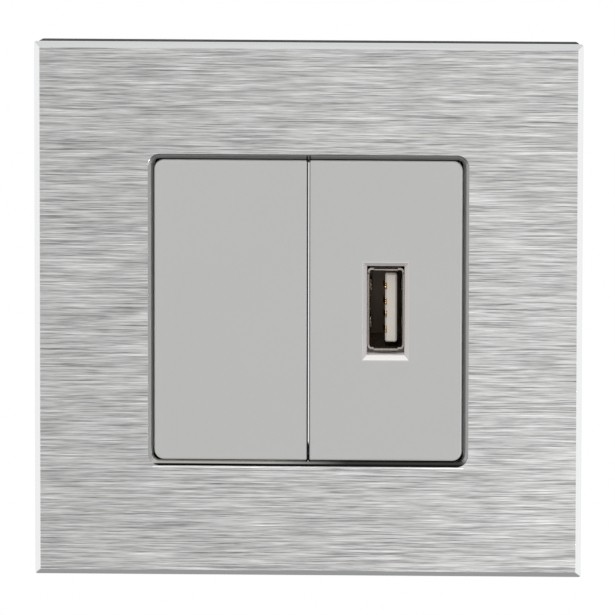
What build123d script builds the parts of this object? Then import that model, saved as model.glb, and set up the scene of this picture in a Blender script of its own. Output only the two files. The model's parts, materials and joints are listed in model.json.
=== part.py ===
from build123d import *
import os

# Wall plate with a blank half and a data socket half, for a wall box with two screw lugs.
# Millimetres. X runs to the right and Z up. Y runs into the wall, whose surface is y = 0,
# so everything on the room side has a negative y.

# Trim plate
plate_side = 86.0
plate_thickness = 0.8
plate_corner = 0.4
bevel_width = 0.85
bevel_depth = 0.55
opening_side = 50.4
opening_corner = 1.9

# Carrier that holds the trim plate off the wall, with sides drawn in towards the wall
carrier_depth = 5.5
carrier_inset = 0.15
carrier_draft = 0.7
carrier_corner = 0.5
carrier_wall = 1.8
carrier_web = 1.4
rim_setback = 0.3
rim_wall = 1.6
arm_thickness = 1.2
arm_width = 5.0
arm_spacing = 40.0
arm_edge = 3.5

# Steel mounting bracket
bracket_thickness = 1.2
bracket_side_margin = 4.0
bracket_end_margin = 7.0
bracket_corner = 3.0
lug_spacing = 60.0
slot_width = 4.5
slot_length = 8.0
flange_depth = 2.5
flange_length = 34.0

# The two half modules
module_gap = 0.2
module_split = 0.25
module_stand_out = 0.1
module_wall = 1.6
module_corner = 1.5
module_edge = 0.3
rib_thickness = 1.0
rib_height = 1.6
rib_spacing = 16.0

# Snap hooks
hook_reach = 0.5
hook_land = 0.5
hook_slope = 1.8
hook_taper = 0.45
hook_play = 0.05
clip_clearance = 0.2
clip_thickness = 1.4
clip_width = 8.0
flex_room = 0.7
slide_room = 0.3

# Socket aperture in the face cap
aperture_side_play = 0.09
aperture_end_play = 0.65
aperture_chamfer = 0.65
collar_wall = 1.0
cap_hook_width = 6.0
cap_hook_thickness = 1.2
cap_hook_inset = 2.75

# Socket housing
housing_gap = 0.4
housing_wall = 1.4
housing_corner = 1.0
window_clearance = 0.25
tongue_slit = 0.8
tongue_length = 6.0
tongue_width = 7.0
boss_radius = 2.1
boss_drill = 1.15
boss_drill_depth = 7.6
boss_side_inset = 3.3
boss_top_inset = 3.35

# Receptacle
shell_width = 5.72
shell_height = 13.1
aperture_width = shell_width + 2 * aperture_side_play
aperture_height = shell_height + 2 * aperture_end_play
shell_wall = 0.3
shell_corner = 0.6
shell_length = 14.0
shell_setback = 1.2
shell_lead_in = 0.15
lip_notch = 0.8
lip_half_width = 1.9
lip_half_height = 5.7
leg_width = 1.4
spring_width = 1.7
spring_thickness = 0.25
spring_window_width = 2.4
spring_window_length = 6.0
spring_window_start = 3.9
spring_spacing = 6.0
spring_reach = 0.4
spring_root = 1.0
spring_bend = 1.6
spring_tip = 0.4
tongue_thickness = 1.84
tongue_span = 11.1
tongue_offset = 0.8
tongue_setback = 1.3
tongue_corner = 0.35
tongue_chamfer = 0.25
insulator_play = 0.05
insulator_base = 4.3
contact_pitches = (-3.5, -1.0, 1.0, 3.5)
contact_width = 1.0
contact_thickness = 0.25
contact_groove = 0.3
contact_bow = 0.38
contact_start = 0.4
contact_rise = 1.2
contact_flat = 5.0
tail_width = 0.6
tail_length = 1.2

# Circuit board
board_thickness = 1.6
board_margin = 0.2
tail_hole_radius = 0.45
pin_hole_radius = 0.65
leg_slot_play = 0.25

# Rear cover and its screws
cover_depth = 4.6
cover_wall = 1.2
cover_gap = 0.6
cover_edge = 0.6
post_radius = 2.6
counterbore_radius = 2.2
counterbore_depth = 2.8
screw_clearance_radius = 1.3
cover_screw_radius = 1.1
cover_screw_head_radius = 1.9
cover_screw_head_height = 1.3
cover_screw_head_chamfer = 0.4
cover_screw_length = 9.0
cover_screw_tip = 0.5
cover_screw_drive = 0.5
cover_screw_drive_span = 2.2
cover_screw_drive_depth = 0.65
lower_screw_drop = 6.2

# Terminal block with rising cages
ways = 4
pitch = 5.0
block_height = 10.0
block_depth = 13.0
block_low_margin = 2.85
block_chamfer = 0.5
cell_wall = 0.8
wire_wall = 1.2
back_wall = 0.9
entry_width = 3.4
entry_chamfer = 0.4
head_radius = 1.9
head_height = 1.5
head_chamfer = 0.2
head_room = 0.75
head_play = 0.05
head_slot = 0.6
head_slot_depth = 0.7
bore_clearance = 0.1
shank_radius = 1.25
shank_fit = 0.05
shank_stop = 0.4
ledge_thickness = 1.0
cage_clearance = 0.15
cage_side = 0.5
cage_floor = 1.0
cage_collar = 1.6
collar_gap = 1.0
cage_length = 4.6
cage_travel = 2.0
cage_stop = 0.3
bar_thickness = 0.8
bar_width = 2.4
bar_bite = 0.2
pin_width = 0.9
pin_length = 1.2

# Depths worked out from the sizes above
plate_back = -carrier_depth
plate_front = plate_back - plate_thickness
bracket_front = -bracket_thickness
module_front = plate_front - module_stand_out
face_inside = module_front + module_wall
housing_front = bracket_front - housing_wall
shell_front = module_front + shell_setback
board_front = shell_front + shell_length
board_back = board_front + board_thickness
tail_end = board_back + tail_length
cover_back = board_back + cover_depth
block_back = board_back + block_depth

# Widths and centres worked out from the sizes above
opening_inner = opening_side - 2 * bevel_width
carrier_side = plate_side - 2 * carrier_inset
pair_side = opening_inner - 2 * module_gap
module_width = (pair_side - module_split) / 2
module_x = (module_split + module_width) / 2
window_side = pair_side - 2 * (module_wall - clip_clearance)
bracket_width = plate_side - 2 * bracket_side_margin
bracket_height = plate_side - 2 * bracket_end_margin
arm_x = bracket_width / 2 - arm_edge
clip_z = pair_side / 2 - module_wall
hook_z = window_side / 2 + hook_reach
housing_half_height = window_side / 2 - housing_gap
housing_width = 2 * (housing_half_height - module_x)
housing_height = 2 * housing_half_height
board_width = housing_width - 2 * board_margin
board_height = housing_height - 2 * board_margin
upper_screw = (module_x - housing_width / 2 + boss_side_inset, housing_half_height - boss_top_inset)
lower_screw = (module_x + housing_width / 2 - boss_side_inset, -lower_screw_drop)
leg_z = (shell_height - shell_wall) / 2
groove_x = module_x + tongue_offset - tongue_thickness / 2
contact_x = groove_x + contact_groove - contact_thickness / 2

# Terminal cells worked out from the sizes above
block_low = -housing_half_height + block_low_margin
block_high = block_low + block_height
cell_xs = [module_x + (number - (ways - 1) / 2) * pitch for number in range(ways)]
cell_low = block_low + wire_wall
cell_high = block_high - back_wall
cell_width = pitch - cell_wall
screw_z = (cell_low + cell_high) / 2
head_seat = block_back - head_room - head_height
ledge_front = head_seat - head_play - ledge_thickness
cage_width = cell_width - 2 * cage_clearance
cage_back = ledge_front - cage_stop - cage_travel
bar_back = cage_back - cage_collar - collar_gap
bar_front = bar_back - bar_thickness
cage_gap_front = bar_front - bar_bite - cage_travel
cage_front = cage_gap_front - cage_floor
shank_end = bar_back + shank_stop
pin_z = cell_high - bar_thickness

os.makedirs("parts", exist_ok=True)


def at_depth(y):
    """Plane parallel to the wall, where positive extrusions go towards the room."""
    return Plane.XZ.offset(-y)


def hook_points(root, catch, outside, thickness, reach):
    """Side view of a snap leg whose hook catches behind the depth `catch`."""
    side = 1 if outside > 0 else -1
    inside = outside - side * thickness
    tip = catch + hook_land + hook_slope
    return [
        (root, inside),
        (root, outside),
        (catch, outside),
        (catch, outside + side * reach),
        (catch + hook_land, outside + side * reach),
        (tip, outside - side * hook_taper),
        (tip, inside),
    ]


# Trim plate: brushed sheet with mitred bevels round its outside and its opening
with BuildPart() as trim_plate:
    with BuildSketch(at_depth(plate_back)):
        Rectangle(plate_side, plate_side)
        RectangleRounded(opening_inner, opening_inner, opening_corner - bevel_width, mode=Mode.SUBTRACT)
    extrude(amount=plate_thickness)
    brushed_face = trim_plate.faces().sort_by(Axis.Y)[0]
    chamfer(brushed_face.edges(), length=bevel_width, length2=bevel_depth, reference=brushed_face)
    with BuildSketch(at_depth(plate_back)):
        RectangleRounded(plate_side, plate_side, plate_corner)
    extrude(amount=plate_thickness, mode=Mode.INTERSECT)
trim_plate.part.label = "trim_plate"
export_step(trim_plate.part, "parts/trim_plate.step")

# Carrier: web behind the plate, outer wall down to the wall surface, rim down to the bracket
rim_inner = opening_inner + 2 * rim_setback
rim_outer = rim_inner + 2 * rim_wall
wall_side = carrier_side - 2 * carrier_draft
with BuildPart() as trim_carrier:
    with BuildSketch(at_depth(plate_back)):
        RectangleRounded(carrier_side, carrier_side, carrier_corner)
    with BuildSketch(at_depth(0)):
        RectangleRounded(wall_side, wall_side, carrier_corner)
    loft()
    with BuildSketch(at_depth(0)):
        Rectangle(wall_side - 2 * carrier_wall, wall_side - 2 * carrier_wall)
    extrude(amount=carrier_depth - carrier_web, mode=Mode.SUBTRACT)
    with BuildSketch(at_depth(bracket_front)):
        RectangleRounded(rim_outer, rim_outer, opening_corner + rim_wall)
    extrude(amount=carrier_depth - bracket_thickness)
    with BuildSketch(at_depth(bracket_front)):
        RectangleRounded(rim_inner, rim_inner, opening_corner)
    extrude(amount=carrier_depth - bracket_thickness, mode=Mode.SUBTRACT)
    for side in (-1, 1):
        arm_outside = side * (arm_x + arm_thickness / 2)
        for height in (-arm_spacing / 2, arm_spacing / 2):
            with BuildSketch(Plane.XY.offset(height)):
                with BuildLine():
                    arm = hook_points(carrier_web - carrier_depth, hook_play, arm_outside, arm_thickness, hook_reach)
                    Polyline(*[(x, y) for y, x in arm], close=True)
                make_face()
            extrude(amount=arm_width / 2, both=True)
trim_carrier.part.label = "trim_carrier"
export_step(trim_carrier.part, "parts/trim_carrier.step")

# Mounting bracket: pressed steel with two screw slots, four snap windows and bent flanges
snap_window_width = arm_thickness + flex_room + clip_clearance
snap_window_x = arm_x - (flex_room - clip_clearance) / 2
with BuildPart() as mounting_bracket:
    with BuildSketch(at_depth(0)):
        RectangleRounded(bracket_width, bracket_height, bracket_corner)
        Rectangle(window_side, window_side, mode=Mode.SUBTRACT)
        with Locations((-lug_spacing / 2, 0), (lug_spacing / 2, 0)):
            SlotOverall(slot_length, slot_width, mode=Mode.SUBTRACT)
        with GridLocations(2 * snap_window_x, arm_spacing, 2, 2):
            Rectangle(snap_window_width, arm_width + 2 * slide_room, mode=Mode.SUBTRACT)
    extrude(amount=bracket_thickness)
    flange_x = (window_side + bracket_thickness) / 2
    with BuildSketch(at_depth(flange_depth)):
        with Locations((-flange_x, 0), (flange_x, 0)):
            Rectangle(bracket_thickness, flange_length)
    extrude(amount=flange_depth)
mounting_bracket.part.label = "mounting_bracket"
export_step(mounting_bracket.part, "parts/mounting_bracket.step")

# Blank insert: one moulding, ribbed inside, with four snap legs behind the bracket
with BuildPart() as blank_insert:
    with BuildSketch(at_depth(bracket_front)) as blank_outline:
        with Locations((-module_x, 0)):
            Rectangle(module_width, pair_side)
        fillet(blank_outline.vertices().sort_by(Axis.X)[:2], module_corner)
    extrude(amount=bracket_front - module_front)
    fillet(blank_insert.faces().sort_by(Axis.Y)[0].edges(), module_edge)
    with BuildSketch(at_depth(bracket_front)):
        with Locations((-module_x, 0)):
            Rectangle(module_width - 2 * module_wall, pair_side - 2 * module_wall)
    extrude(amount=bracket_front - face_inside, mode=Mode.SUBTRACT)
    with BuildSketch(at_depth(face_inside + rib_height)):
        with Locations((-module_x, 0)):
            Rectangle(rib_thickness, pair_side - 2 * module_wall)
        with Locations((-module_x, -rib_spacing / 2), (-module_x, rib_spacing / 2)):
            Rectangle(module_width - 2 * module_wall, rib_thickness)
    extrude(amount=rib_height)
    for side in (-1, 1):
        with BuildSketch(Plane.YZ.offset(-module_x)):
            with BuildLine():
                clip = hook_points(face_inside, hook_play, side * clip_z, clip_thickness, hook_z - clip_z)
                Polyline(*clip, close=True)
            make_face()
        extrude(amount=clip_width / 2, both=True)
blank_insert.part.label = "blank_insert"
export_step(blank_insert.part, "parts/blank_insert.step")

# Face cap of the socket half: chamfered aperture, collar against stray light, two hooks
cap_hook_z = clip_z - cap_hook_inset
with BuildPart() as usb_face_cap:
    with BuildSketch(at_depth(bracket_front)) as cap_outline:
        with Locations((module_x, 0)):
            Rectangle(module_width, pair_side)
        fillet(cap_outline.vertices().sort_by(Axis.X)[-2:], module_corner)
    extrude(amount=bracket_front - module_front)
    fillet(usb_face_cap.faces().sort_by(Axis.Y)[0].edges(), module_edge)
    with BuildSketch(at_depth(bracket_front)):
        with Locations((module_x, 0)):
            Rectangle(module_width - 2 * module_wall, pair_side - 2 * module_wall)
    extrude(amount=bracket_front - face_inside, mode=Mode.SUBTRACT)
    with BuildSketch(at_depth(housing_front)):
        with Locations((module_x, 0)):
            Rectangle(aperture_width + 2 * collar_wall, aperture_height + 2 * collar_wall)
    extrude(amount=housing_front - face_inside)
    with BuildSketch(at_depth(housing_front)):
        with Locations((module_x, 0)):
            Rectangle(aperture_width, aperture_height)
    extrude(amount=housing_front - module_front, mode=Mode.SUBTRACT)
    cap_face = usb_face_cap.faces().sort_by(Axis.Y)[0]
    chamfer(cap_face.inner_wires()[0].edges(), aperture_chamfer)
    for side in (-1, 1):
        with BuildSketch(Plane.YZ.offset(module_x)):
            with BuildLine():
                catch = bracket_front + hook_play
                hook = hook_points(face_inside, catch, side * cap_hook_z, cap_hook_thickness, hook_reach)
                Polyline(*hook, close=True)
            make_face()
        extrude(amount=cap_hook_width / 2, both=True)
usb_face_cap.part.label = "usb_face_cap"
export_step(usb_face_cap.part, "parts/usb_face_cap.step")

# Socket housing: open-backed box with the receptacle's window, screw bosses and snap tongues
with BuildPart() as usb_module_housing:
    with BuildSketch(at_depth(board_front)):
        with Locations((module_x, 0)):
            RectangleRounded(housing_width, housing_height, housing_corner)
    extrude(amount=board_front - housing_front)
    with BuildSketch(at_depth(board_front)):
        with Locations((module_x, 0)):
            Rectangle(housing_width - 2 * housing_wall, housing_height - 2 * housing_wall)
    extrude(amount=board_front - bracket_front, mode=Mode.SUBTRACT)
    with BuildSketch(at_depth(board_front)):
        with Locations(upper_screw, lower_screw):
            Circle(boss_radius)
    extrude(amount=board_front - bracket_front)
    with BuildSketch(at_depth(board_front)):
        with Locations(upper_screw, lower_screw):
            Circle(boss_drill)
    extrude(amount=boss_drill_depth, mode=Mode.SUBTRACT)
    with BuildSketch(at_depth(bracket_front)):
        with Locations((module_x, 0)):
            Rectangle(shell_width + 2 * window_clearance, shell_height + 2 * window_clearance)
        for side in (-1, 1):
            slot_height = cap_hook_thickness + flex_room + clip_clearance / 2
            slot_z = side * (cap_hook_z + clip_clearance / 2 - slot_height / 2)
            with Locations((module_x, slot_z)):
                Rectangle(cap_hook_width + 2 * slide_room, slot_height)
    extrude(amount=housing_wall, mode=Mode.SUBTRACT)
    for side in (-1, 1):
        with BuildSketch(Plane.YZ.offset(module_x)):
            with BuildLine():
                Polyline(
                    (hook_play, side * (housing_half_height - housing_wall / 2)),
                    (hook_play, side * hook_z),
                    (hook_play + hook_land, side * hook_z),
                    (hook_play + hook_land + hook_slope, side * housing_half_height),
                    (hook_play + hook_land + hook_slope, side * (housing_half_height - housing_wall / 2)),
                    close=True,
                )
            make_face()
        extrude(amount=tongue_width / 2, both=True)
        with BuildSketch(Plane.XY.offset(side * (housing_half_height - housing_wall / 2))):
            slit_x = (tongue_width + tongue_slit) / 2
            with Locations((module_x - slit_x, tongue_length / 2), (module_x + slit_x, tongue_length / 2)):
                Rectangle(tongue_slit, tongue_length + tongue_slit)
            with Locations((module_x, hook_play - tongue_slit / 2)):
                Rectangle(tongue_width + 2 * tongue_slit, tongue_slit)
        extrude(amount=housing_wall, both=True, mode=Mode.SUBTRACT)
usb_module_housing.part.label = "usb_module_housing"
export_step(usb_module_housing.part, "parts/usb_module_housing.step")

# Receptacle shell: folded tin with two leaf springs on each broad side and two solder legs
with BuildPart() as receptacle_shell:
    with BuildSketch(at_depth(board_front)):
        with Locations((module_x, 0)):
            RectangleRounded(shell_width, shell_height, shell_corner)
            RectangleRounded(
                shell_width - 2 * shell_wall,
                shell_height - 2 * shell_wall,
                shell_corner - shell_wall,
                mode=Mode.SUBTRACT,
            )
    extrude(amount=shell_length)
    chamfer(receptacle_shell.faces().sort_by(Axis.Y)[0].inner_wires()[0].edges(), shell_lead_in)
    notch_width = shell_width / 2 - lip_half_width
    notch_height = shell_height / 2 - lip_half_height
    with BuildSketch(at_depth(shell_front + lip_notch)):
        with Locations((module_x, 0)):
            with GridLocations(2 * lip_half_width + notch_width, 2 * lip_half_height + notch_height, 2, 2):
                Rectangle(notch_width, notch_height)
    extrude(amount=lip_notch, mode=Mode.SUBTRACT)
    window_start = shell_front + spring_window_start
    window_end = window_start + spring_window_length
    window_y = (window_start + window_end) / 2
    with BuildSketch(Plane.YZ.offset(module_x)):
        with Locations((window_y, -spring_spacing / 2), (window_y, spring_spacing / 2)):
            Rectangle(spring_window_length, spring_window_width)
    extrude(amount=shell_width, both=True, mode=Mode.SUBTRACT)
    for side in (-1, 1):
        spring_x = module_x + side * (shell_width - shell_wall) / 2
        for height in (-spring_spacing / 2, spring_spacing / 2):
            with BuildSketch(Plane.XY.offset(height)):
                with BuildLine():
                    Polyline(
                        (spring_x, window_end + shell_wall),
                        (spring_x, window_end - spring_root),
                        (spring_x - side * spring_reach, window_start + spring_bend),
                        (spring_x - side * spring_reach / 2, window_start + spring_tip),
                    )
                trace(line_width=spring_thickness)
            extrude(amount=spring_width / 2, both=True)
    with BuildSketch(at_depth(tail_end)):
        with Locations((module_x, -leg_z), (module_x, leg_z)):
            Rectangle(leg_width, shell_wall)
    extrude(amount=tail_end - board_front)
receptacle_shell.part.label = "receptacle_shell"
export_step(receptacle_shell.part, "parts/receptacle_shell.step")

# Insulator: base block in the shell and the tongue that carries the contacts
tongue_front = shell_front + tongue_setback
with BuildPart() as receptacle_insulator:
    with BuildSketch(at_depth(board_front)):
        with Locations((module_x, 0)):
            Rectangle(
                shell_width - 2 * (shell_wall + insulator_play),
                shell_height - 2 * (shell_wall + insulator_play),
            )
    extrude(amount=insulator_base)
    fillet(receptacle_insulator.edges().filter_by(Axis.Y), shell_corner - shell_wall)
    with BuildSketch(at_depth(board_front)):
        with Locations((module_x + tongue_offset, 0)):
            RectangleRounded(tongue_thickness, tongue_span, tongue_corner)
    extrude(amount=board_front - tongue_front)
    chamfer(receptacle_insulator.faces().sort_by(Axis.Y)[0].edges(), tongue_chamfer)
    with BuildSketch(at_depth(board_front)):
        with Locations(*[(groove_x + contact_groove / 2, height) for height in contact_pitches]):
            Rectangle(contact_groove, contact_width + 2 * insulator_play)
    extrude(amount=board_front - tongue_front, mode=Mode.SUBTRACT)
receptacle_insulator.part.label = "receptacle_insulator"
export_step(receptacle_insulator.part, "parts/receptacle_insulator.step")

# Contacts: four bowed strips in the tongue's grooves, with tails through the board
for number, height in enumerate(contact_pitches, start=1):
    with BuildPart() as receptacle_contact:
        with BuildSketch(Plane.XY.offset(height)):
            with BuildLine():
                Polyline(
                    (contact_x, tongue_front + contact_start),
                    (contact_x - contact_bow, tongue_front + contact_start + contact_rise),
                    (contact_x, tongue_front + contact_flat),
                    (contact_x, board_front),
                )
            trace(line_width=contact_thickness)
        extrude(amount=contact_width / 2, both=True)
        with BuildSketch(at_depth(tail_end)):
            with Locations((contact_x, height)):
                Rectangle(contact_thickness, tail_width)
        extrude(amount=tail_end - board_front)
    receptacle_contact.part.label = f"receptacle_contact_{number}"
    export_step(receptacle_contact.part, f"parts/receptacle_contact_{number}.step")

# Circuit board on the housing's rear rim, drilled for every tail, leg, pin and screw
with BuildPart() as circuit_board:
    with BuildSketch(at_depth(board_back)):
        with Locations((module_x, 0)):
            Rectangle(board_width, board_height)
        with Locations(*[(contact_x, height) for height in contact_pitches]):
            Circle(tail_hole_radius, mode=Mode.SUBTRACT)
        with Locations((module_x, -leg_z), (module_x, leg_z)):
            Rectangle(leg_width + 2 * leg_slot_play, shell_wall + 2 * leg_slot_play, mode=Mode.SUBTRACT)
        with Locations(upper_screw, lower_screw):
            Circle(screw_clearance_radius, mode=Mode.SUBTRACT)
        with Locations(*[(x, pin_z) for x in cell_xs]):
            Circle(pin_hole_radius, mode=Mode.SUBTRACT)
    extrude(amount=board_thickness)
circuit_board.part.label = "circuit_board"
export_step(circuit_board.part, "parts/circuit_board.step")

# Rear cover over the board, with a counterbored post at each screw
cover_low = block_high + cover_gap
cover_height = housing_half_height - cover_low
cover_z = (housing_half_height + cover_low) / 2
with BuildPart() as usb_rear_cover:
    with BuildSketch(at_depth(cover_back)):
        with Locations((module_x, cover_z)):
            Rectangle(housing_width, cover_height)
    extrude(amount=cover_depth)
    chamfer(usb_rear_cover.faces().sort_by(Axis.Y)[-1].edges(), cover_edge)
    with BuildSketch(at_depth(cover_back - cover_wall)):
        with Locations((module_x, cover_z)):
            Rectangle(housing_width - 2 * cover_wall, cover_height - 2 * cover_wall)
    extrude(amount=cover_depth - cover_wall, mode=Mode.SUBTRACT)
    with BuildSketch(at_depth(cover_back - cover_wall)):
        with Locations(upper_screw, lower_screw):
            Circle(post_radius)
        with Locations((module_x, cover_z)):
            Rectangle(housing_width, cover_height, mode=Mode.INTERSECT)
    extrude(amount=cover_depth - cover_wall)
    with BuildSketch(at_depth(cover_back)):
        with Locations(upper_screw, lower_screw):
            Circle(counterbore_radius)
    extrude(amount=counterbore_depth, mode=Mode.SUBTRACT)
    with BuildSketch(at_depth(cover_back)):
        with Locations(upper_screw, lower_screw):
            Circle(screw_clearance_radius)
    extrude(amount=cover_depth, mode=Mode.SUBTRACT)
usb_rear_cover.part.label = "usb_rear_cover"
export_step(usb_rear_cover.part, "parts/usb_rear_cover.step")

# Cover screws: pan heads with a cross recess, through cover and board into the bosses
cover_screw_seat = cover_back - counterbore_depth
for number, (x, z) in enumerate((upper_screw, lower_screw), start=1):
    with BuildPart() as cover_screw:
        with BuildSketch(at_depth(cover_screw_seat + cover_screw_head_height)):
            with Locations((x, z)):
                Circle(cover_screw_head_radius)
        extrude(amount=cover_screw_head_height)
        chamfer(cover_screw.faces().sort_by(Axis.Y)[-1].edges(), cover_screw_head_chamfer)
        with BuildSketch(at_depth(cover_screw_seat)):
            with Locations((x, z)):
                Circle(cover_screw_radius)
        extrude(amount=cover_screw_length)
        chamfer(cover_screw.faces().sort_by(Axis.Y)[0].edges(), cover_screw_tip)
        with BuildSketch(at_depth(cover_screw_seat + cover_screw_head_height)):
            with Locations((x, z)):
                Rectangle(cover_screw_drive_span, cover_screw_drive)
                Rectangle(cover_screw_drive, cover_screw_drive_span)
        extrude(amount=cover_screw_drive_depth, mode=Mode.SUBTRACT)
    cover_screw.part.label = f"cover_screw_{number}"
    export_step(cover_screw.part, f"parts/cover_screw_{number}.step")

# Terminal block: a moulding of four cells, wires in from below and screws from behind
with BuildPart() as terminal_housing:
    with BuildSketch(at_depth(block_back)):
        with Locations((module_x, (block_low + block_high) / 2)):
            Rectangle(ways * pitch, block_height)
    extrude(amount=block_depth)
    chamfer(terminal_housing.faces().sort_by(Axis.Y)[-1].edges().filter_by(Axis.X), block_chamfer)
    with BuildSketch(at_depth(ledge_front)):
        with Locations(*[(x, (cell_low + cell_high) / 2) for x in cell_xs]):
            Rectangle(cell_width, cell_high - cell_low)
    extrude(amount=ledge_front - board_back, mode=Mode.SUBTRACT)
    with BuildSketch(at_depth(block_back)):
        with Locations(*[(x, screw_z) for x in cell_xs]):
            Circle(head_radius + bore_clearance)
    extrude(amount=block_back - head_seat + head_play, mode=Mode.SUBTRACT)
    with BuildSketch(at_depth(block_back)):
        with Locations(*[(x, screw_z) for x in cell_xs]):
            Circle(shank_radius + bore_clearance)
    extrude(amount=block_back - ledge_front, mode=Mode.SUBTRACT)
    with BuildSketch(Plane.XY.offset(block_low)):
        with Locations(*[(x, (cage_gap_front + bar_front) / 2 - bar_bite) for x in cell_xs]):
            Rectangle(entry_width, bar_front - cage_gap_front + 2 * bar_bite)
    extrude(amount=wire_wall, mode=Mode.SUBTRACT)
    wire_face = terminal_housing.faces().sort_by(Axis.Z)[0]
    chamfer([wire.edges() for wire in wire_face.inner_wires()], entry_chamfer)
terminal_housing.part.label = "terminal_housing"
export_step(terminal_housing.part, "parts/terminal_housing.step")

# The working pieces of each cell: clamp screw, rising cage and fixed contact bar
for number, x in enumerate(cell_xs, start=1):
    with BuildPart() as terminal_screw:
        with BuildSketch(at_depth(head_seat + head_height)):
            with Locations((x, screw_z)):
                Circle(head_radius)
        extrude(amount=head_height)
        chamfer(terminal_screw.faces().sort_by(Axis.Y)[-1].edges(), head_chamfer)
        with BuildSketch(at_depth(head_seat)):
            with Locations((x, screw_z)):
                Circle(shank_radius)
        extrude(amount=head_seat - shank_end)
        chamfer(terminal_screw.faces().sort_by(Axis.Y)[0].edges(), head_chamfer)
        with BuildSketch(at_depth(head_seat + head_height)):
            with Locations((x, screw_z)):
                Rectangle(2 * head_radius, head_slot)
        extrude(amount=head_slot_depth, mode=Mode.SUBTRACT)
    terminal_screw.part.label = f"terminal_screw_{number}"
    export_step(terminal_screw.part, f"parts/terminal_screw_{number}.step")

    with BuildPart() as terminal_cage:
        with BuildSketch(Plane.XY.offset(screw_z)):
            with Locations((x, (cage_front + cage_back) / 2)):
                Rectangle(cage_width, cage_back - cage_front)
            with Locations((x, (cage_gap_front + cage_back - cage_collar) / 2)):
                Rectangle(
                    cage_width - 2 * cage_side,
                    cage_back - cage_collar - cage_gap_front,
                    mode=Mode.SUBTRACT,
                )
        extrude(amount=cage_length / 2, both=True)
        with BuildSketch(at_depth(cage_back)):
            with Locations((x, screw_z)):
                Circle(shank_radius + shank_fit)
        extrude(amount=cage_collar, mode=Mode.SUBTRACT)
    terminal_cage.part.label = f"terminal_cage_{number}"
    export_step(terminal_cage.part, f"parts/terminal_cage_{number}.step")

    with BuildPart() as terminal_bar:
        with BuildSketch(Plane.YZ.offset(x)):
            with BuildLine():
                Polyline(
                    (bar_front + bar_thickness / 2, cell_low + clip_clearance),
                    (bar_front + bar_thickness / 2, pin_z),
                    (board_back + slide_room, pin_z),
                )
            trace(line_width=bar_thickness)
        extrude(amount=bar_width / 2, both=True)
        with BuildSketch(at_depth(board_back + slide_room)):
            with Locations((x, pin_z)):
                Rectangle(pin_width, bar_thickness)
        extrude(amount=slide_room + board_thickness + pin_length)
    terminal_bar.part.label = f"terminal_bar_{number}"
    export_step(terminal_bar.part, f"parts/terminal_bar_{number}.step")
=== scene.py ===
import json
import math

import bpy
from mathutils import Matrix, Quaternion, Vector


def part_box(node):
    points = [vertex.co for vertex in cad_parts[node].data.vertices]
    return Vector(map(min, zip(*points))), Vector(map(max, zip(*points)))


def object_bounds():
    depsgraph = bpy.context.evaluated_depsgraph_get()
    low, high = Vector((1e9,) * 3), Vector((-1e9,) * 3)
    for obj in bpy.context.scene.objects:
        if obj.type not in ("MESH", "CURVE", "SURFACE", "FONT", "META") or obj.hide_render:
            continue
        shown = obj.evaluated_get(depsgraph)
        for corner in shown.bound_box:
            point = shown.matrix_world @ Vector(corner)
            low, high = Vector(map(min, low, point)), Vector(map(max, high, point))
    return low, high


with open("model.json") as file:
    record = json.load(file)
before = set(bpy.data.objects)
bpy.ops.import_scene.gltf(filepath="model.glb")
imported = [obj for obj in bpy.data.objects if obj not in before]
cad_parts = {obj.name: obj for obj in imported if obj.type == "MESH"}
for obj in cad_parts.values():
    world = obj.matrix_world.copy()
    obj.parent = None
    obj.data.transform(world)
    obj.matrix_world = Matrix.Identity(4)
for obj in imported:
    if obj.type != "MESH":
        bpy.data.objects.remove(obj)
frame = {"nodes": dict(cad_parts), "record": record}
cadLow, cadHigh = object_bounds()
nodes = frame["nodes"]
print("frame loaded:", len(nodes), "nodes")

scene = bpy.context.scene
scene.view_settings.view_transform = "Standard"

mm = 0.001
plateLow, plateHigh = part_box("trim_plate")
capLow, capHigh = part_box("usb_face_cap")
socketX = (capLow.x + capHigh.x) / 2


# node helpers

def addNode(tree, kind, values=None, **settings):
    node = tree.nodes.new(kind)
    for name, value in settings.items():
        setattr(node, name, value)
    for name, value in (values or {}).items():
        node.inputs[name].default_value = value
    return node


def joinUp(tree, *pairs):
    # each pair is an output socket and the input socket that it feeds
    for source, target in pairs:
        tree.links.new(source, target)


def newGroup(name, inputs, outputs):
    # inputs and outputs are lists of (name, socket type, default)
    group = bpy.data.node_groups.new(name, "ShaderNodeTree")
    for side, sockets in (("INPUT", inputs), ("OUTPUT", outputs)):
        for socketName, socketType, default in sockets:
            socket = group.interface.new_socket(socketName, in_out=side, socket_type=socketType)
            if default is not None:
                socket.default_value = default
    entry = group.nodes.new("NodeGroupInput")
    leave = group.nodes.new("NodeGroupOutput")
    return group, entry, leave


def placeGroup(tree, group, values=None):
    node = tree.nodes.new("ShaderNodeGroup")
    node.node_tree = group
    for name, value in (values or {}).items():
        node.inputs[name].default_value = value
    return node


# shared effects

# each layer: its share of the streak's length, its share of the width, its weight
grainLayers = ((1.0, 1.0, 0.5), (2.6, 2.2, 0.3), (0.45, 0.7, 0.2))


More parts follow.
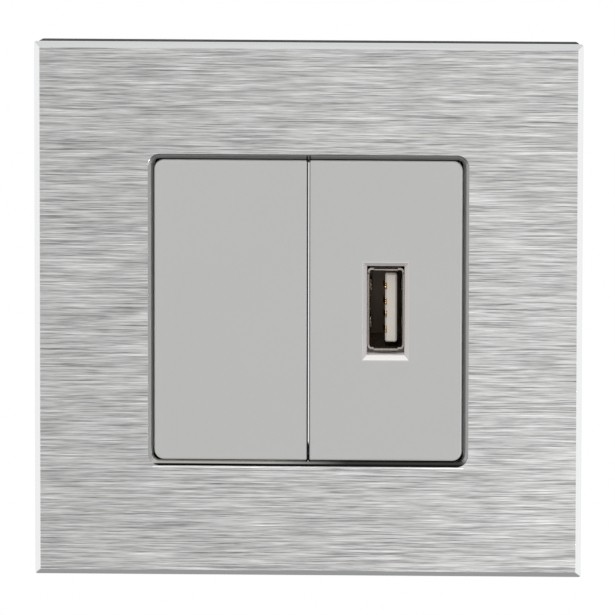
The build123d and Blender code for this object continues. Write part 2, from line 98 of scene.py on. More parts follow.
def makeStretchedGrain():
    # noise drawn out along X, in layers from hair lines to broad soft bands
    group, entry, leave = newGroup(
        "stretchedGrain",
        [
            ("Length", "NodeSocketFloat", 0.01),
            ("Width", "NodeSocketFloat", 0.0002),
            ("Contrast", "NodeSocketFloat", 1.0),
        ],
        [("Shade", "NodeSocketFloat", None), ("Height", "NodeSocketFloat", None)],
    )
    place = addNode(group, "ShaderNodeTexCoord")
    total = None
    for lengthShare, widthShare, weight in grainLayers:
        alongScale = addNode(group, "ShaderNodeMath", operation="DIVIDE")
        alongScale.inputs[0].default_value = 1 / lengthShare
        acrossScale = addNode(group, "ShaderNodeMath", operation="DIVIDE")
        acrossScale.inputs[0].default_value = 1 / widthShare
        scales = addNode(group, "ShaderNodeCombineXYZ")
        stretch = addNode(group, "ShaderNodeVectorMath", operation="MULTIPLY")
        noise = addNode(group, "ShaderNodeTexNoise", {"Scale": 1.0, "Detail": 3.0, "Roughness": 0.6})
        weigh = addNode(group, "ShaderNodeMath", operation="MULTIPLY")
        weigh.inputs[1].default_value = weight
        joinUp(
            group,
            (entry.outputs["Length"], alongScale.inputs[1]),
            (entry.outputs["Width"], acrossScale.inputs[1]),
            (alongScale.outputs[0], scales.inputs["X"]),
            (acrossScale.outputs[0], scales.inputs["Y"]),
            (acrossScale.outputs[0], scales.inputs["Z"]),
            (place.outputs["Object"], stretch.inputs[0]),
            (scales.outputs[0], stretch.inputs[1]),
            (stretch.outputs[0], noise.inputs["Vector"]),
            (noise.outputs["Fac"], weigh.inputs[0]),
        )
        if total is None:
            total = weigh
        else:
            both = addNode(group, "ShaderNodeMath", operation="ADD")
            joinUp(group, (total.outputs[0], both.inputs[0]), (weigh.outputs[0], both.inputs[1]))
            total = both
    centred = addNode(group, "ShaderNodeMath", operation="SUBTRACT")
    centred.inputs[1].default_value = 0.5
    scaled = addNode(group, "ShaderNodeMath", operation="MULTIPLY")
    joinUp(
        group,
        (total.outputs[0], centred.inputs[0]),
        (centred.outputs[0], scaled.inputs[0]),
        (entry.outputs["Contrast"], scaled.inputs[1]),
        (scaled.outputs[0], leave.inputs["Shade"]),
        (total.outputs[0], leave.inputs["Height"]),
    )
    return group


def makeMouldGrain():
    # even fine grain for mouldings and plating, with a broad cloud under it
    group, entry, leave = newGroup(
        "mouldGrain",
        [
            ("Grain", "NodeSocketFloat", 0.0003),
            ("Cloud", "NodeSocketFloat", 0.012),
            ("Contrast", "NodeSocketFloat", 0.05),
        ],
        [("Shade", "NodeSocketFloat", None), ("Height", "NodeSocketFloat", None)],
    )
    place = addNode(group, "ShaderNodeTexCoord")
    outputs = {}
    for name in ("Grain", "Cloud"):
        perMetre = addNode(group, "ShaderNodeMath", operation="DIVIDE")
        perMetre.inputs[0].default_value = 1.0
        noise = addNode(group, "ShaderNodeTexNoise", {"Detail": 4.0, "Roughness": 0.55})
        joinUp(
            group,
            (entry.outputs[name], perMetre.inputs[1]),
            (place.outputs["Object"], noise.inputs["Vector"]),
            (perMetre.outputs[0], noise.inputs["Scale"]),
        )
        outputs[name] = noise.outputs["Fac"]
    both = addNode(group, "ShaderNodeMath", operation="ADD")
    centred = addNode(group, "ShaderNodeMath", operation="SUBTRACT")
    centred.inputs[1].default_value = 1.0
    scaled = addNode(group, "ShaderNodeMath", operation="MULTIPLY")
    joinUp(
        group,
        (outputs["Grain"], both.inputs[0]),
        (outputs["Cloud"], both.inputs[1]),
        (both.outputs[0], centred.inputs[0]),
        (centred.outputs[0], scaled.inputs[0]),
        (entry.outputs["Contrast"], scaled.inputs[1]),
        (scaled.outputs[0], leave.inputs["Shade"]),
        (outputs["Grain"], leave.inputs["Height"]),
    )
    return group


def makeBoxMask():
    # 1 inside an upright box round Middle, fading out over Edge
    group, entry, leave = newGroup(
        "boxMask",
        [
            ("Middle", "NodeSocketVector", None),
            ("Half Size", "NodeSocketVector", None),
            ("Edge", "NodeSocketFloat", 0.0001),
        ],
        [("Mask", "NodeSocketFloat", None)],
    )
    place = addNode(group, "ShaderNodeTexCoord")
    away = addNode(group, "ShaderNodeVectorMath", operation="SUBTRACT")
    size = addNode(group, "ShaderNodeVectorMath", operation="ABSOLUTE")
    past = addNode(group, "ShaderNodeVectorMath", operation="SUBTRACT")
    parts = addNode(group, "ShaderNodeSeparateXYZ")
    widest = addNode(group, "ShaderNodeMath", operation="MAXIMUM")
    outside = addNode(group, "ShaderNodeMath", operation="MAXIMUM")
    fade = addNode(group, "ShaderNodeMapRange", {"From Min": 0.0, "To Min": 1.0, "To Max": 0.0})
    joinUp(
        group,
        (place.outputs["Object"], away.inputs[0]),
        (entry.outputs["Middle"], away.inputs[1]),
        (away.outputs[0], size.inputs[0]),
        (size.outputs[0], past.inputs[0]),
        (entry.outputs["Half Size"], past.inputs[1]),
        (past.outputs[0], parts.inputs[0]),
        (parts.outputs["X"], widest.inputs[0]),
        (parts.outputs["Z"], widest.inputs[1]),
        (widest.outputs[0], outside.inputs[0]),
        (parts.outputs["Y"], outside.inputs[1]),
        (outside.outputs[0], fade.inputs["Value"]),
        (entry.outputs["Edge"], fade.inputs["From Max"]),
        (fade.outputs["Result"], leave.inputs["Mask"]),
    )
    return group


stretchedGrain = makeStretchedGrain()
mouldGrain = makeMouldGrain()
boxMask = makeBoxMask()
print("shared shader groups made")


# finishes

def newFinish(name, values):
    finish = bpy.data.materials.new(name)
    finish.use_nodes = True
    tree = finish.node_tree
    tree.nodes.clear()
    out = addNode(tree, "ShaderNodeOutputMaterial")
    surface = addNode(tree, "ShaderNodeBsdfPrincipled", values)
    joinUp(tree, (surface.outputs["BSDF"], out.inputs["Surface"]))
    return finish, tree, surface


def shadeColour(tree, colour, amount):
    # colour made lighter or darker by a share that changes over the surface
    factor = addNode(tree, "ShaderNodeMath", operation="ADD")
    factor.inputs[1].default_value = 1.0
    scaled = addNode(tree, "ShaderNodeVectorMath", operation="SCALE")
    if hasattr(colour, "links"):
        joinUp(tree, (colour, scaled.inputs[0]))
    else:
        scaled.inputs[0].default_value = colour[:3]
    joinUp(tree, (amount, factor.inputs[0]), (factor.outputs[0], scaled.inputs["Scale"]))
    return scaled.outputs[0]


def mixColours(tree, mask, first, second):
    blend = addNode(tree, "ShaderNodeMix", data_type="RGBA")
    joinUp(tree, (mask, blend.inputs["Factor"]))
    for name, colour in (("A", first), ("B", second)):
        target = next(s for s in blend.inputs if s.name == name and s.type == "RGBA")
        if hasattr(colour, "links"):
            joinUp(tree, (colour, target))
        else:
            target.default_value = (*colour[:3], 1.0)
    return next(s for s in blend.outputs if s.type == "RGBA")


def mixValues(tree, mask, first, second):
    blend = addNode(tree, "ShaderNodeMix", data_type="FLOAT")
    joinUp(tree, (mask, blend.inputs["Factor"]))
    for index, value in ((2, first), (3, second)):
        if hasattr(value, "links"):
            joinUp(tree, (value, blend.inputs[index]))
        else:
            blend.inputs[index].default_value = value
    return blend.outputs[0]


def placeMouldGrain(tree, s):
    return placeGroup(tree, mouldGrain, {
        "Grain": s["grain"], "Cloud": s["cloud"], "Contrast": s["contrast"]})


brushedSheet = {
    "face": (0.424, 0.424, 0.420),
    "outerBevel": (0.86, 0.865, 0.87),
    # the inner bevel, darker than the outer one: painted shade
    "innerBevelPaintedShade": (0.33, 0.33, 0.325),
    # lower bevel: a painted reflection, light on the left fading to near black on the right
    "paintedReflectionLeft": (0.58, 0.57, 0.54),
    "paintedReflectionRight": (0.06, 0.06, 0.055),
    "paintedReflectionFade": (-6 * mm, 6 * mm),
    # a painted shadow line, near black, along the outer part of the lower bevel
    "paintedShadowLine": (0.012, 0.012, 0.012),
    "paintedShadowBand": (24.78 * mm, 24.90 * mm),
    "streakLength": 6.0 * mm,
    "streakWidth": 0.13 * mm,
    "streakContrast": 4.6,
    "faceRoughness": 0.36,
    "faceRoughnessSwing": 0.25,
    "bevelRoughness": 0.14,
    "streakRelief": 0.010 * mm,
    "openingHalf": 26.5 * mm,
    "openingEdge": 0.1 * mm,
    "flatFrom": (0.94, 0.98),  # share of the normal along Y that makes a flat face
    "lowerFrom": (0.25, 0.45),  # share of the normal along Z that makes the lower bevel
    # a painted highlight along the lower rim of the opening
    "paintedGlint": (0.66, 0.66, 0.655),
    "paintedGlintAt": -25.36 * mm,
    "paintedGlintHalf": (24.4 * mm, 0.05 * mm),
    "paintedGlintEdge": 0.09 * mm,
    "layerDepth": 10 * mm,  # how far back the marks of the face reach
}


def makeBrushedSheet(s):
    finish, tree, surface = newFinish("brushedAluminium", {"Metallic": 1.0})
    grain = placeGroup(tree, stretchedGrain, {
        "Length": s["streakLength"], "Width": s["streakWidth"], "Contrast": s["streakContrast"]})
    around = placeGroup(tree, boxMask, {
        "Middle": (0.0, plateLow.y, 0.0),
        "Half Size": (s["openingHalf"], s["layerDepth"], s["openingHalf"]),
        "Edge": s["openingEdge"],
    })
    shape = addNode(tree, "ShaderNodeNewGeometry")
    parts = addNode(tree, "ShaderNodeSeparateXYZ")
    facing = addNode(tree, "ShaderNodeMath", operation="ABSOLUTE")
    flat = addNode(tree, "ShaderNodeMapRange", {"From Min": s["flatFrom"][0], "From Max": s["flatFrom"][1]})
    upward = addNode(tree, "ShaderNodeMapRange", {
        "From Min": s["lowerFrom"][0], "From Max": s["lowerFrom"][1]})
    place = addNode(tree, "ShaderNodeTexCoord")
    spot = addNode(tree, "ShaderNodeSeparateXYZ")
    reflectionAcross = addNode(tree, "ShaderNodeMapRange", {
        "From Min": s["paintedReflectionFade"][0], "From Max": s["paintedReflectionFade"][1]})
    joinUp(
        tree,
        (shape.outputs["True Normal"], parts.inputs[0]),
        (parts.outputs["Y"], facing.inputs[0]),
        (facing.outputs[0], flat.inputs["Value"]),
        (parts.outputs["Z"], upward.inputs["Value"]),
        (place.outputs["Object"], spot.inputs[0]),
        (spot.outputs["X"], reflectionAcross.inputs["Value"]),
    )
    # painted reflection on the lower bevel, light on the left and near black on the right
    lower = mixColours(tree, reflectionAcross.outputs["Result"], s["paintedReflectionLeft"], s["paintedReflectionRight"])
    # painted shadow line on the outer part of the lower bevel
    below = addNode(tree, "ShaderNodeMapRange", {
        "From Min": -s["paintedShadowBand"][0], "From Max": -s["paintedShadowBand"][1]})
    joinUp(tree, (spot.outputs["Z"], below.inputs["Value"]))
    lower = mixColours(tree, below.outputs["Result"], lower, s["paintedShadowLine"])
    # inner bevels take the darker colour, painted shade
    inner = mixColours(tree, upward.outputs["Result"], s["innerBevelPaintedShade"], lower)
    bevel = mixColours(tree, around.outputs["Mask"], s["outerBevel"], inner)
    paintedGlint = placeGroup(tree, boxMask, {
        "Middle": (0.0, plateLow.y, s["paintedGlintAt"]),
        "Half Size": (s["paintedGlintHalf"][0], s["layerDepth"], s["paintedGlintHalf"][1]),
        "Edge": s["paintedGlintEdge"],
    })
    face = mixColours(tree, paintedGlint.outputs["Mask"], s["face"], s["paintedGlint"])  # painted highlight along the lower rim of the opening
    face = shadeColour(tree, face, grain.outputs["Shade"])
    joinUp(tree, (mixColours(tree, flat.outputs["Result"], bevel, face), surface.inputs["Base Color"]))
    rough = addNode(tree, "ShaderNodeMath", operation="MULTIPLY_ADD")
    rough.inputs[1].default_value = s["faceRoughnessSwing"]
    rough.inputs[2].default_value = s["faceRoughness"] - s["faceRoughnessSwing"] / 2
    joinUp(tree, (grain.outputs["Height"], rough.inputs[0]))
    roughness = mixValues(tree, flat.outputs["Result"], s["bevelRoughness"], rough.outputs[0])
    joinUp(tree, (roughness, surface.inputs["Roughness"]))
    relief = addNode(tree, "ShaderNodeMath", operation="MULTIPLY")
    bump = addNode(tree, "ShaderNodeBump", {"Strength": 1.0, "Distance": s["streakRelief"]})
    joinUp(
        tree,
        (grain.outputs["Height"], relief.inputs[0]),
        (flat.outputs["Result"], relief.inputs[1]),
        (relief.outputs[0], bump.inputs["Height"]),
        (bump.outputs["Normal"], surface.inputs["Normal"]),
    )
    return finish


modulePlastic = {
    "face": (0.478, 0.480, 0.468),
    # chamfer round the socket mouth: its own lighter bare moulding on the sides, painted shade where it faces
    # down, painted light where it faces up
    "mouthPaintedShade": (0.50, 0.465, 0.455),
    "mouthSide": (0.62, 0.595, 0.585),
    "mouthPaintedLight": (0.86, 0.845, 0.83),
    "mouthHalf": (3.62 * mm, 20 * mm, 8.0 * mm),
    "mouthFacing": (0.1, 0.4),  # share of the normal along Z that makes an upper or lower side
    "maskEdge": 0.05 * mm,
    "wholeHalf": 1.0,  # past every side, where a mask isn't bounded
    # painted shade deep in the gap round the cap and in the split between the modules
    "joint": (0.012, 0.011, 0.010),
    "gapShadeDepth": (0.76 * mm, 0.90 * mm),
    "splitMiddle": -0.02 * mm,
    "splitHalf": 0.33 * mm,
    "splitEdge": 0.03 * mm,
    "splitShadeDepth": (0.01 * mm, 0.12 * mm),
    "rimInset": 0.4 * mm,
    "roughness": 0.42,
    "roughnessSwing": 0.1,
    "gapShadeRoughness": 0.95,
    "grain": 0.25 * mm,
    "cloud": 14 * mm,
    "contrast": 0.04,
    "relief": 0.002 * mm,
}


def makeModulePlastic(s):
    finish, tree, surface = newFinish("modulePlastic", {"Specular IOR Level": 0.4})
    grain = placeMouldGrain(tree, s)
    mouth = placeGroup(tree, boxMask, {
        "Middle": (socketX, 0.0, 0.0), "Half Size": s["mouthHalf"], "Edge": s["maskEdge"]})
    rimHalf = capHigh.z - s["rimInset"]
    within = placeGroup(tree, boxMask, {
        "Middle": (0.0, 0.0, 0.0),
        "Half Size": (capHigh.x - s["rimInset"], s["wholeHalf"], rimHalf),
        "Edge": s["maskEdge"],
    })
    split = placeGroup(tree, boxMask, {
        "Middle": (s["splitMiddle"], 0.0, 0.0),
        "Half Size": (s["splitHalf"], s["wholeHalf"], s["wholeHalf"]),
        "Edge": s["splitEdge"],
    })
    # painted shade: near black deeper in the gap past the cap's rim and in the split between the two modules
    outside = addNode(tree, "ShaderNodeMath", operation="SUBTRACT")
    outside.inputs[0].default_value = 1.0
    shadeMask = addNode(tree, "ShaderNodeMath", operation="MAXIMUM")
    place = addNode(tree, "ShaderNodeTexCoord")
    spot = addNode(tree, "ShaderNodeSeparateXYZ")
    deep = addNode(tree, "ShaderNodeMapRange", {
        "From Min": capLow.y + s["gapShadeDepth"][0], "From Max": capLow.y + s["gapShadeDepth"][1]})
    splitDeep = addNode(tree, "ShaderNodeMapRange", {
        "From Min": capLow.y + s["splitShadeDepth"][0], "From Max": capLow.y + s["splitShadeDepth"][1]})
    rimShadeMask = addNode(tree, "ShaderNodeMath", operation="MULTIPLY")
    splitShadeMask = addNode(tree, "ShaderNodeMath", operation="MULTIPLY")
    joinUp(
        tree,
        (within.outputs["Mask"], outside.inputs[1]),
        (place.outputs["Object"], spot.inputs[0]),
        (spot.outputs["Y"], deep.inputs["Value"]),
        (spot.outputs["Y"], splitDeep.inputs["Value"]),
        (outside.outputs[0], rimShadeMask.inputs[0]),
        (deep.outputs["Result"], rimShadeMask.inputs[1]),
        (split.outputs["Mask"], splitShadeMask.inputs[0]),
        (splitDeep.outputs["Result"], splitShadeMask.inputs[1]),
        (rimShadeMask.outputs[0], shadeMask.inputs[0]),
        (splitShadeMask.outputs[0], shadeMask.inputs[1]),
    )
    shape = addNode(tree, "ShaderNodeNewGeometry")
    facing = addNode(tree, "ShaderNodeSeparateXYZ")
    start, end = s["mouthFacing"]
    down = addNode(tree, "ShaderNodeMapRange", {"From Min": start, "From Max": -end})
    up = addNode(tree, "ShaderNodeMapRange", {"From Min": start, "From Max": end})
    joinUp(
        tree,
        (shape.outputs["True Normal"], facing.inputs[0]),
        (facing.outputs["Z"], down.inputs["Value"]),
        (facing.outputs["Z"], up.inputs["Value"]),
    )
    # painted shade on the chamfer faces that look down, painted light on those that look up
    rim = mixColours(tree, down.outputs["Result"], s["mouthSide"], s["mouthPaintedShade"])
    rim = mixColours(tree, up.outputs["Result"], rim, s["mouthPaintedLight"])
    colour = mixColours(tree, mouth.outputs["Mask"], s["face"], rim)
    colour = mixColours(tree, shadeMask.outputs[0], colour, s["joint"])
    rough = addNode(tree, "ShaderNodeMath", operation="MULTIPLY_ADD")
    rough.inputs[1].default_value = s["roughnessSwing"]
    rough.inputs[2].default_value = s["roughness"] - s["roughnessSwing"] / 2
    bump = addNode(tree, "ShaderNodeBump", {"Strength": 1.0, "Distance": s["relief"]})
    joinUp(
        tree,
        (shadeColour(tree, colour, grain.outputs["Shade"]), surface.inputs["Base Color"]),
        (grain.outputs["Height"], rough.inputs[0]),
        (mixValues(tree, shadeMask.outputs[0], rough.outputs[0], s["gapShadeRoughness"]), surface.inputs["Roughness"]),
        (grain.outputs["Height"], bump.inputs["Height"]),
        (bump.outputs["Normal"], surface.inputs["Normal"]),
    )
    return finish


mouldRoughnessSwing = 0.16


def startMoulding(name, s):
    # grain, roughness and relief of an even moulded or plated finish, and its shaded colour
    finish, tree, surface = newFinish(name, s["shader"])
    grain = placeMouldGrain(tree, s)
    rough = addNode(tree, "ShaderNodeMath", operation="MULTIPLY_ADD")
    rough.inputs[1].default_value = mouldRoughnessSwing
    rough.inputs[2].default_value = s["roughness"] - mouldRoughnessSwing / 2
    bump = addNode(tree, "ShaderNodeBump", {"Strength": 1.0, "Distance": s["relief"]})
    joinUp(
        tree,
        (grain.outputs["Height"], rough.inputs[0]),
        (rough.outputs[0], surface.inputs["Roughness"]),
        (grain.outputs["Height"], bump.inputs["Height"]),
        (bump.outputs["Normal"], surface.inputs["Normal"]),
    )
    return finish, tree, surface, shadeColour(tree, s["colour"], grain.outputs["Shade"])


def makeMoulding(name, s):
    # the same colour all over
    finish, tree, surface, colour = startMoulding(name, s)
    joinUp(tree, (colour, surface.inputs["Base Color"]))
    return finish


def makeInsulator(name, s, inside):
    # cream where it faces the mouth, with painted shade in deep brown further in
    finish, tree, surface, colour = startMoulding(name, s)
    place = addNode(tree, "ShaderNodeTexCoord")
    spot = addNode(tree, "ShaderNodeSeparateXYZ")
    deep = addNode(tree, "ShaderNodeMapRange", {
        "From Min": inside["depth"][0], "From Max": inside["depth"][1]})
    behind = addNode(tree, "ShaderNodeMapRange", {
        "From Min": inside["end"][0], "From Max": inside["end"][1]})
    shaded = addNode(tree, "ShaderNodeMath", operation="SUBTRACT", use_clamp=True)
    joinUp(
        tree,
        (place.outputs["Object"], spot.inputs[0]),
        (spot.outputs["Y"], deep.inputs["Value"]),
        (spot.outputs["Y"], behind.inputs["Value"]),
        (deep.outputs["Result"], shaded.inputs[0]),
        (behind.outputs["Result"], shaded.inputs[1]),
    )
    brown = mixColours(tree, shaded.outputs[0], colour, inside["colour"])
    joinUp(tree, (brown, surface.inputs["Base Color"]))
    return finish


mouldedFinishes = {
    "carrierPlastic": {
        "colour": (0.016, 0.016, 0.018), "roughness": 0.62, "contrast": 0.3,
        "grain": 0.3 * mm, "cloud": 20 * mm, "relief": 0.006 * mm, "shader": {"Specular IOR Level": 0.12},
    },
    "zincSteel": {
        "colour": (0.56, 0.58, 0.60), "roughness": 0.34, "contrast": 0.22,
        "grain": 0.8 * mm, "cloud": 7 * mm, "relief": 0.003 * mm, "shader": {"Metallic": 1.0},
    },
    "housingPlastic": {
        "colour": (0.60, 0.60, 0.58), "roughness": 0.46, "contrast": 0.06,
        "grain": 0.3 * mm, "cloud": 12 * mm, "relief": 0.006 * mm, "shader": {},
    },
    "shellNickel": {
        # nickel plating given a low brown colour: painted shade for the inside of the socket shell
        "colour": (0.36, 0.325, 0.28), "roughness": 0.28, "contrast": 0.3,
        "grain": 0.2 * mm, "cloud": 3 * mm, "relief": 0.002 * mm, "shader": {"Metallic": 1.0},
    },
    "creamInsulator": {
        "colour": (0.60, 0.565, 0.50), "roughness": 0.45, "contrast": 0.1,
        "grain": 0.2 * mm, "cloud": 4 * mm, "relief": 0.003 * mm, "shader": {},
    },
    "contactGold": {
        "colour": (0.83, 0.56, 0.20), "roughness": 0.22, "contrast": 0.2,
        "grain": 0.2 * mm, "cloud": 2 * mm, "relief": 0.001 * mm, "shader": {"Metallic": 1.0},
    },
    "boardGreen": {
        "colour": (0.018, 0.11, 0.035), "roughness": 0.3, "contrast": 0.25,
        "grain": 0.25 * mm, "cloud": 4 * mm, "relief": 0.004 * mm, "shader": {"Coat Weight": 0.4},
    },
    "terminalGreen": {
        "colour": (0.020, 0.17, 0.055), "roughness": 0.42, "contrast": 0.12,
        "grain": 0.3 * mm, "cloud": 6 * mm, "relief": 0.006 * mm, "shader": {},
    },
    "zincScrew": {
        "colour": (0.60, 0.61, 0.62), "roughness": 0.28, "contrast": 0.25,
        "grain": 0.25 * mm, "cloud": 2 * mm, "relief": 0.003 * mm, "shader": {"Metallic": 1.0},
    },
    "cageSteel": {
        "colour": (0.50, 0.51, 0.53), "roughness": 0.36, "contrast": 0.25,
        "grain": 0.25 * mm, "cloud": 3 * mm, "relief": 0.003 * mm, "shader": {"Metallic": 1.0},
    },
    "tinnedBrass": {
        "colour": (0.60, 0.57, 0.50), "roughness": 0.38, "contrast": 0.25,
        "grain": 0.25 * mm, "cloud": 3 * mm, "relief": 0.003 * mm, "shader": {"Metallic": 1.0},
    },
}

# painted shade deep inside the socket, in place of the insulator's cream
insulatorPaintedShade = {
    "colour": (0.085, 0.052, 0.022),
    "depth": (-3.6 * mm, -2.2 * mm),
    "end": (9.0 * mm, 9.5 * mm),
}

finishes = {name: makeMoulding(name, settings) for name, settings in mouldedFinishes.items()}
finishes["creamInsulator"] = makeInsulator(
    "creamInsulator", mouldedFinishes["creamInsulator"], insulatorPaintedShade)
finishes["brushedAluminium"] = makeBrushedSheet(brushedSheet)
finishes["modulePlastic"] = makeModulePlastic(modulePlastic)
print("finishes made:", len(finishes))

slotFinish = {
    "brushed_aluminium": "brushedAluminium",
    "carrier_plastic": "carrierPlastic",
    "zinc_steel": "zincSteel",
    "module_plastic": "modulePlastic",
    "housing_plastic": "housingPlastic",
    "shell_nickel": "shellNickel",
    "insulator_plastic": "creamInsulator",
    "contact_gold": "contactGold",
    "board_laminate": "boardGreen",
    "terminal_plastic": "terminalGreen",
    "zinc_screw": "zincScrew",
    "cage_steel": "cageSteel",
    "tinned_brass": "tinnedBrass",
}
for subpart in frame["record"]["subparts"]:
    piece = nodes[subpart["node"]]
    piece.data.materials.clear()
    piece.data.materials.append(finishes[slotFinish[subpart["material_slot"]]])
print("finishes given to the nodes")


# fine edge breaks, by modifiers that leave each node's own mesh alone

edgeBreaks = {
    "trim_plate": 0.07 * mm,
    "trim_carrier": 0.15 * mm,
    "mounting_bracket": 0.15 * mm,
    "usb_face_cap": 0.06 * mm,
    "blank_insert": 0.06 * mm,
    "usb_module_housing": 0.12 * mm,
    "usb_rear_cover": 0.10 * mm,
    "terminal_housing": 0.12 * mm,
    "receptacle_insulator": 0.06 * mm,
}


weldReach = 0.002 * mm
sharpAngle = 28  # degrees between faces, past which an edge is broken


def breakEdges(node, width):
    weld = node.modifiers.new("weld", "WELD")
    weld.merge_threshold = weldReach
    bevel = node.modifiers.new("edgeBreak", "BEVEL")
    bevel.width = width
    bevel.segments = 2
    bevel.limit_method = "ANGLE"
    bevel.angle_limit = math.radians(sharpAngle)
    bevel.use_clamp_overlap = True
    bevel.harden_normals = False


for name, width in edgeBreaks.items():
    breakEdges(nodes[name], width)
print("edges broken:", len(edgeBreaks))


# stage: pale floor, well below the plate, seen as white from a distance

stageSettings = {
    "floorDrop": 0.30,
    "floorReach": 6.0,
    "floorColour": (0.80, 0.80, 0.80, 1.0),
    "floorMirrored": 0.36,
    "shadowRadius": 0.45,
    "worldLevel": 0.93,
    "skyLow": 1.0,
    "skyHigh": 0.71,
    "skyRise": (0.1, 0.9),  # heights between which the mirrored sky darkens
    "white": (1, 1, 1, 1),
}


def makeFloor(s):
    # white from a distance, pale and shadowed near by, darker in mirror-like surfaces
    mesh = bpy.data.meshes.new("floor")
    reach, level = s["floorReach"], cadLow.z - s["floorDrop"]
    corners = [(-reach, -reach, level), (reach, -reach, level), (reach, reach, level), (-reach, reach, level)]
    mesh.from_pydata(corners, [], [(0, 1, 2, 3)])
    floor = bpy.data.objects.new("floor", mesh)
    scene.collection.objects.link(floor)
    finish = bpy.data.materials.new("paleFloor")
    finish.use_nodes = True
    tree = finish.node_tree
    tree.nodes.clear()
    out = addNode(tree, "ShaderNodeOutputMaterial")
    matt = addNode(tree, "ShaderNodeBsdfDiffuse", {"Color": s["floorColour"]})
    white = addNode(tree, "ShaderNodeEmission", {"Color": s["white"], "Strength": 1.0})
    mirrored = addNode(tree, "ShaderNodeEmission", {"Color": s["white"], "Strength": s["floorMirrored"]})
    clear = addNode(tree, "ShaderNodeBsdfTransparent")
    path = addNode(tree, "ShaderNodeLightPath")
    shape = addNode(tree, "ShaderNodeNewGeometry")
    place = addNode(tree, "ShaderNodeTexCoord")
    reachOut = addNode(tree, "ShaderNodeVectorMath", operation="LENGTH")
    far = addNode(tree, "ShaderNodeMapRange", {
        "From Min": s["shadowRadius"], "From Max": 2 * s["shadowRadius"]})
    near = addNode(tree, "ShaderNodeMixShader")
    farSeen = addNode(tree, "ShaderNodeMixShader")
    seen = addNode(tree, "ShaderNodeMath", operation="MAXIMUM")
    seenAll = addNode(tree, "ShaderNodeMath", operation="MAXIMUM")
    shown = addNode(tree, "ShaderNodeMath", operation="MULTIPLY")
    whole = addNode(tree, "ShaderNodeMixShader")
    joinUp(
        tree,
        (place.outputs["Object"], reachOut.inputs[0]),
        (reachOut.outputs["Value"], far.inputs["Value"]),
        (path.outputs["Is Glossy Ray"], near.inputs["Fac"]),
        (matt.outputs[0], near.inputs[1]),
        (mirrored.outputs[0], near.inputs[2]),
        (path.outputs["Is Camera Ray"], seen.inputs[0]),
        (path.outputs["Is Glossy Ray"], seen.inputs[1]),
        (seen.outputs[0], seenAll.inputs[0]),
        (path.outputs["Is Transmission Ray"], seenAll.inputs[1]),
        (seenAll.outputs[0], shown.inputs[0]),
        (far.outputs["Result"], shown.inputs[1]),
        (shown.outputs[0], farSeen.inputs["Fac"]),
        (near.outputs[0], farSeen.inputs[1]),
        (white.outputs[0], farSeen.inputs[2]),
        (shape.outputs["Backfacing"], whole.inputs["Fac"]),
        (farSeen.outputs[0], whole.inputs[1]),
        (clear.outputs[0], whole.inputs[2]),
        (whole.outputs[0], out.inputs["Surface"]),
    )
    floor.data.materials.append(finish)


def makeWorld(s):
    # the camera sees white, mirror-like surfaces see a sky that darkens upwards, the rest is lit evenly
    world = bpy.data.worlds.new("studio")
    scene.world = world
    world.use_nodes = True
    tree = world.node_tree
    tree.nodes.clear()
    out = addNode(tree, "ShaderNodeOutputWorld")
    light = addNode(tree, "ShaderNodeBackground", {"Color": s["white"], "Strength": s["worldLevel"]})
    white = addNode(tree, "ShaderNodeBackground", {"Color": s["white"], "Strength": 1.0})
    sky = addNode(tree, "ShaderNodeBackground", {"Color": s["white"]})
    path = addNode(tree, "ShaderNodeLightPath")
    place = addNode(tree, "ShaderNodeTexCoord")
    parts = addNode(tree, "ShaderNodeSeparateXYZ")
    height = addNode(tree, "ShaderNodeMapRange", {
        "From Min": s["skyRise"][0], "From Max": s["skyRise"][1],
        "To Min": s["skyLow"], "To Max": s["skyHigh"],
    })
    seen = addNode(tree, "ShaderNodeMath", operation="MAXIMUM")
    glossy = addNode(tree, "ShaderNodeMixShader")
    blend = addNode(tree, "ShaderNodeMixShader")
    joinUp(
        tree,
        (place.outputs["Generated"], parts.inputs[0]),
        (parts.outputs["Z"], height.inputs["Value"]),
        (height.outputs["Result"], sky.inputs["Strength"]),
        (path.outputs["Is Glossy Ray"], glossy.inputs["Fac"]),
        (light.outputs[0], glossy.inputs[1]),
        (sky.outputs[0], glossy.inputs[2]),
        (path.outputs["Is Camera Ray"], seen.inputs[0]),
        (path.outputs["Is Transmission Ray"], seen.inputs[1]),
        (seen.outputs[0], blend.inputs["Fac"]),
        (glossy.outputs[0], blend.inputs[1]),
        (white.outputs[0], blend.inputs[2]),
        (blend.outputs[0], out.inputs["Surface"]),
    )


lamps = {
    "rightSoftbox": {
        "at": (0.32, -0.42, -0.27), "size": (0.25, 0.25), "watts": 3.6, "mirrored": True, "diffuse": False},
    "topSoftbox": {
        "at": (-0.15, -0.45, 0.75), "size": (0.8, 0.4), "watts": 1.95, "mirrored": False, "diffuse": True},
}


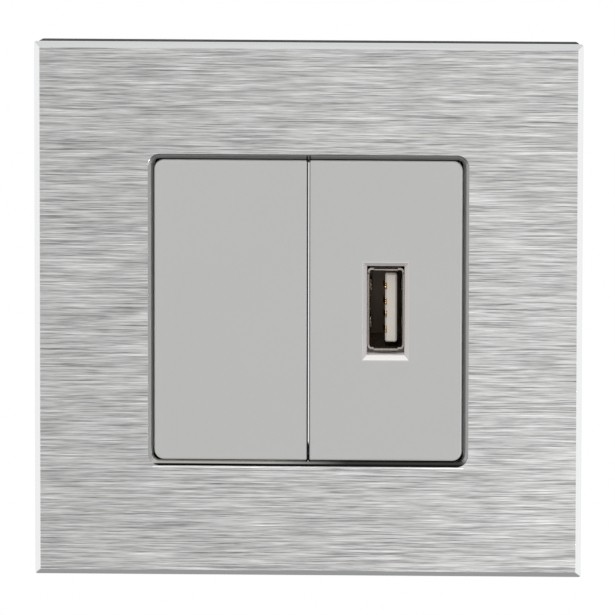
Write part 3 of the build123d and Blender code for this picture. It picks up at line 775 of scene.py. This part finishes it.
def makeLamp(name, s):
    lamp = bpy.data.lights.new(name, "AREA")
    lamp.shape = "RECTANGLE"
    lamp.size, lamp.size_y = s["size"]
    lamp.energy = s["watts"]
    holder = bpy.data.objects.new(name, lamp)
    holder.location = s["at"]
    holder.rotation_euler = (-Vector(s["at"])).to_track_quat("-Z", "Y").to_euler()
    holder.visible_glossy = s["mirrored"]
    holder.visible_diffuse = s["diffuse"]
    scene.collection.objects.link(holder)


makeFloor(stageSettings)
makeWorld(stageSettings)
for name, settings in lamps.items():
    makeLamp(name, settings)
print("stage and lamps made")


# camera, set from the photograph: plate corners and the strip above the top edge give its angle

photoView = {
    "imageWidth": 615,
    "sensorWidth": 36.0,
    "clip": (0.05, 50.0),
    "distance": 2.5,
    "azimuth": 1.24,
    "elevation": 13.7,
    "roll": -0.10,
    "pixelsPerMm": 6.3708,
    "plateCentre": (308.3, 310.9),
}


def makeCamera(s):
    lens = bpy.data.cameras.new("camera")
    camera = bpy.data.objects.new("camera", lens)
    scene.collection.objects.link(camera)
    focalPixels = s["pixelsPerMm"] * s["distance"] / mm
    lens.sensor_fit = "HORIZONTAL"
    lens.sensor_width = s["sensorWidth"]
    lens.lens = focalPixels / s["imageWidth"] * lens.sensor_width
    lens.clip_start, lens.clip_end = s["clip"]
    turn, tilt = math.radians(s["azimuth"]), math.radians(s["elevation"])
    back = Vector((math.sin(turn) * math.cos(tilt), -math.cos(turn) * math.cos(tilt), math.sin(tilt)))
    faceCentre = Vector((0.0, plateLow.y, 0.0))
    camera.rotation_mode = "QUATERNION"
    look = (-back).to_track_quat("-Z", "Y")
    middle = s["imageWidth"] / 2
    perPixel = s["distance"] / focalPixels
    right = look @ Vector((1, 0, 0))
    up = look @ Vector((0, 1, 0))
    aim = faceCentre + right * (middle - s["plateCentre"][0]) * perPixel
    aim += up * (s["plateCentre"][1] - middle) * perPixel
    camera.location = aim + back * s["distance"]
    camera.rotation_quaternion = Quaternion(-back, math.radians(s["roll"])) @ look
    scene.camera = camera


makeCamera(photoView)
print("camera made")
